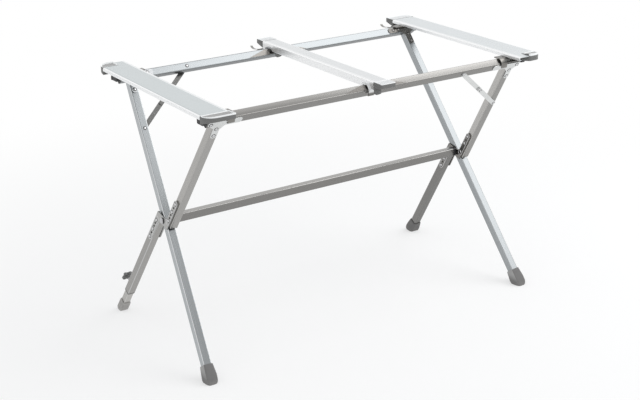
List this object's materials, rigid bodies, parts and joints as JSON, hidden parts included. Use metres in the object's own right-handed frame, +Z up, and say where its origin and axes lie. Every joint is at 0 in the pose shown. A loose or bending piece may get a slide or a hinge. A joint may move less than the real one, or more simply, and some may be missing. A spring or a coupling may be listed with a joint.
{
  "type": "folding camp table",
  "caption": "Folding cross-leg camp table frame of square aluminium tube with lift-up top members, a centre stretcher and a screw-clamped levelling foot.",
  "frame": {"origin": "centre of the table's footprint, on the floor the feet stand on", "axes": "+X along the two long rails towards the table's right-hand end, +Y across the table from the front rail to the rear rail, +Z up"},
  "size_m": [1.0554, 0.606, 0.6986],
  "materials": {
    "silver_tube": "satin anodised",
    "silver_bar": "satin anodised, pale",
    "sheet_metal": "zinc-plated sheet",
    "steel": "plain turned",
    "grey_plastic": "moulded, matte",
    "black_plastic": "moulded, satin",
    "rubber": "moulded, matte"
  },
  "bodies": {
    "front_frame": {"front_rail": "silver_tube", "front_rail_plug_left": "black_plastic", "front_rail_plug_right": "black_plastic", "upper_leg_left": "silver_tube", "upper_leg_right": "silver_tube", "lower_leg_left": "silver_tube", "lower_leg_right": "silver_tube", "hub_plate_outer_left": "sheet_metal", "hub_plate_inner_left": "sheet_metal", "hub_plate_outer_right": "sheet_metal", "hub_plate_inner_right": "sheet_metal", "hub_pin_left": "steel", "hub_pin_right": "steel", "stretcher": "silver_tube", "stretcher_plug_left": "black_plastic", "stretcher_plug_right": "black_plastic", "corner_front_left": "sheet_metal", "corner_front_right": "sheet_metal", "brace_front_rail_link": "sheet_metal", "brace_front_leg_link": "sheet_metal", "foot_rear_right": "rubber", "leg_collar": "grey_plastic", "clamp_boss": "steel"},
    "rear_frame": {"rear_rail": "silver_tube", "rear_rail_plug_left": "black_plastic", "rear_rail_plug_right": "black_plastic", "long_leg_left": "silver_tube", "long_leg_right": "silver_tube", "corner_rear_left": "sheet_metal", "corner_rear_right": "sheet_metal", "brace_rear_rail_link": "sheet_metal", "brace_rear_leg_link": "sheet_metal", "foot_front_left": "rubber", "foot_front_right": "rubber"},
    "left_member": {"bar_left": "silver_bar", "bar_cap_front_left": "grey_plastic", "bar_cap_rear_left": "grey_plastic", "bar_clip_front_left": "sheet_metal", "bar_clip_rear_left": "sheet_metal", "bar_stop_front_left": "black_plastic", "bar_stop_rear_left": "black_plastic"},
    "middle_member": {"bar_middle": "silver_bar", "bar_cap_front_middle": "grey_plastic", "bar_cap_rear_middle": "grey_plastic", "bar_clip_front_middle": "sheet_metal", "bar_clip_rear_middle": "sheet_metal", "bar_claw_front_middle": "black_plastic", "bar_claw_rear_middle": "black_plastic"},
    "right_member": {"bar_right": "silver_bar", "bar_cap_front_right": "grey_plastic", "bar_cap_rear_right": "grey_plastic", "bar_clip_front_right": "sheet_metal", "bar_clip_rear_right": "sheet_metal", "bar_stop_front_right": "black_plastic", "bar_stop_rear_right": "black_plastic"},
    "levelling_foot": {"adjuster_tube": "silver_tube", "adjuster_foot": "rubber"},
    "clamp_knob": {"clamp_screw": "steel", "star_knob": "black_plastic"}
  },
  "joints": [
    {"name": "leg_fold", "type": "hinge", "parent": "front_frame", "child": "rear_frame", "pos_m": [0, 0, 0.3485], "axis": [1, 0, 0], "range_deg": [0, 67.5]},
    {"name": "left_member_lift", "type": "hinge", "parent": "front_frame", "child": "left_member", "pos_m": [-0.473, -0.236, 0.67], "axis": [1, 0, 0], "range_deg": [0, 67.5]},
    {"name": "middle_member_lift", "type": "hinge", "parent": "front_frame", "child": "middle_member", "pos_m": [0, -0.236, 0.67], "axis": [1, 0, 0], "range_deg": [0, 67.5]},
    {"name": "right_member_lift", "type": "hinge", "parent": "front_frame", "child": "right_member", "pos_m": [0.473, -0.236, 0.67], "axis": [1, 0, 0], "range_deg": [0, 67.5]},
    {"name": "foot_slide", "type": "slide", "parent": "front_frame", "child": "levelling_foot", "axis": [-0.0729, 0.5526, -0.8302], "range_m": [-0.044, 0.06]},
    {"name": "knob_turn", "type": "hinge", "parent": "front_frame", "child": "clamp_knob", "pos_m": [-0.50415, 0.20011, 0.09299], "axis": [0, 0.8325, 0.5541], "range_deg": [0, 360]}
  ],
  "couplings": [
    {"joint": "left_member_lift", "follows": "leg_fold", "ratio": 1},
    {"joint": "middle_member_lift", "follows": "leg_fold", "ratio": 1},
    {"joint": "right_member_lift", "follows": "leg_fold", "ratio": 1}
  ]
}
